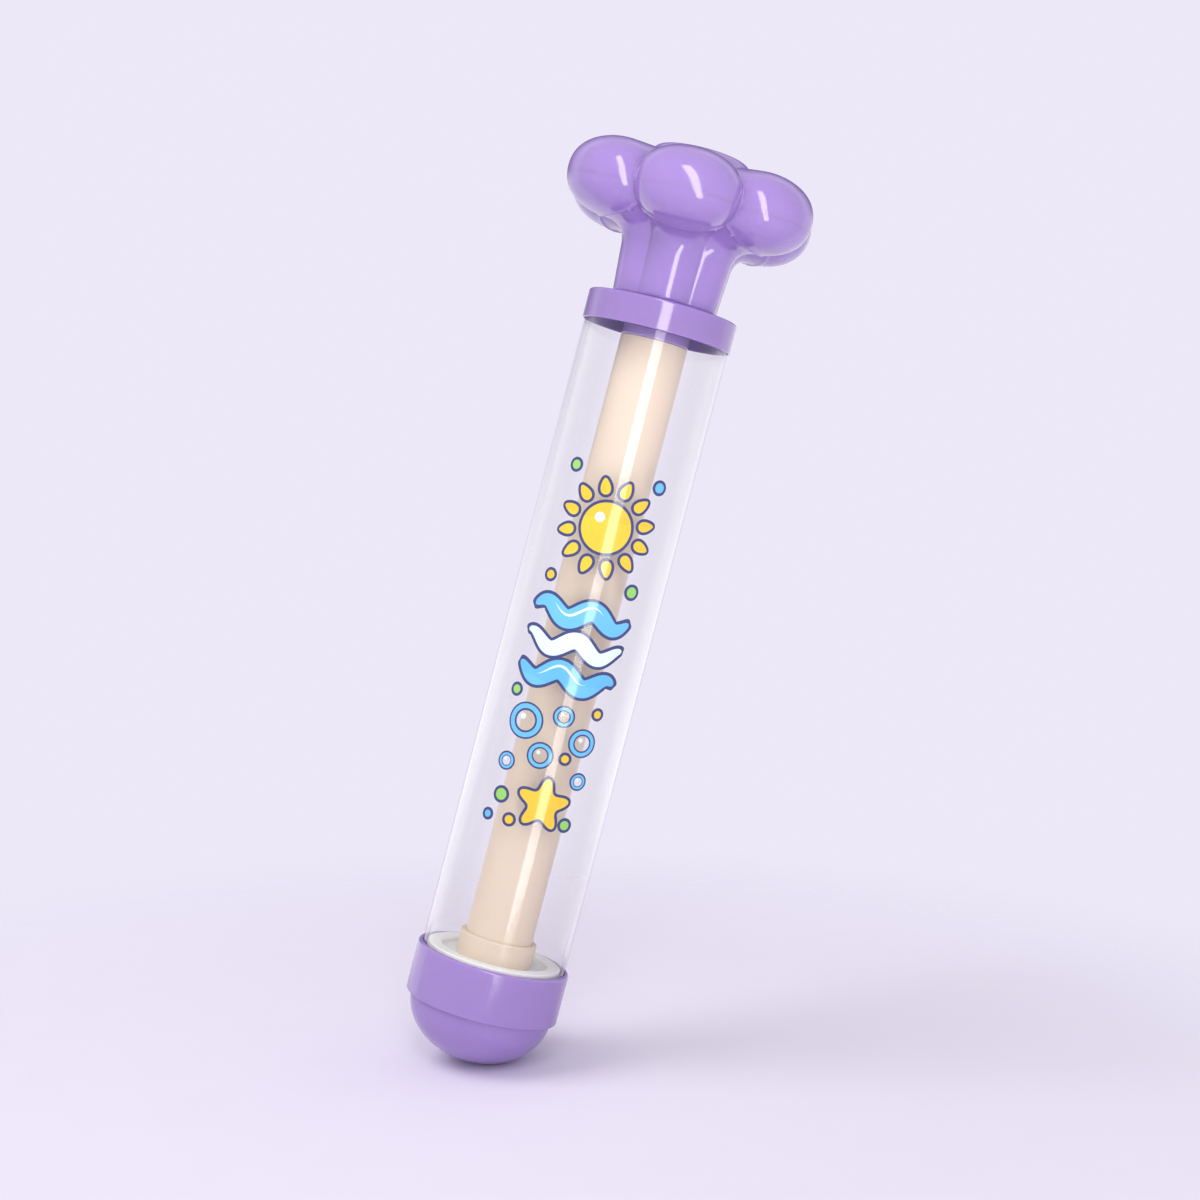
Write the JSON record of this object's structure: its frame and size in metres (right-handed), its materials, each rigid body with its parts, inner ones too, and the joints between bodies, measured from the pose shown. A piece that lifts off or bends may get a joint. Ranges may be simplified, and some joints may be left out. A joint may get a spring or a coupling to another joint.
{
  "type": "water squirter",
  "caption": "Syringe-type water squirter: a clear tube with a domed nozzle cap and a guide collar, and a plunger with a flower-shaped handle that draws water in and pushes it out.",
  "frame": {"origin": "tip of the dome on the barrel's axis, at the nozzle's mouth", "axes": "+Z along the barrel from the nozzle to the handle, -Y towards the middle of one lobe of the handle"},
  "size_m": [0.0642, 0.0672, 0.2457],
  "materials": {
    "clear_tube": "clear, polished",
    "purple_plastic": "glossy moulded purple",
    "cream_plastic": "satin cream",
    "white_plastic": "satin white",
    "seal_rubber": "black rubber",
    "screw_steel": "zinc-plated steel"
  },
  "bodies": {
    "barrel": {"barrel_tube": "clear_tube", "nozzle_cap": "purple_plastic", "cap_gasket": "seal_rubber", "guide_collar": "purple_plastic"},
    "seal": {"sealing_ring": "seal_rubber"},
    "plunger": {"push_rod": "cream_plastic", "rod_foot": "cream_plastic", "piston": "white_plastic", "piston_washer": "screw_steel", "piston_screw": "screw_steel", "handle_base": "purple_plastic", "handle_top": "purple_plastic"}
  },
  "joints": [
    {"name": "plunger_slide", "type": "slide", "parent": "barrel", "child": "seal", "axis": [0, 0, 1], "range_m": [0, 0.1669]},
    {"name": "plunger_turn", "type": "hinge", "parent": "seal", "child": "plunger", "pos_m": [0, 0, 0.0235], "axis": [0, 0, 1], "continuous": true}
  ]
}
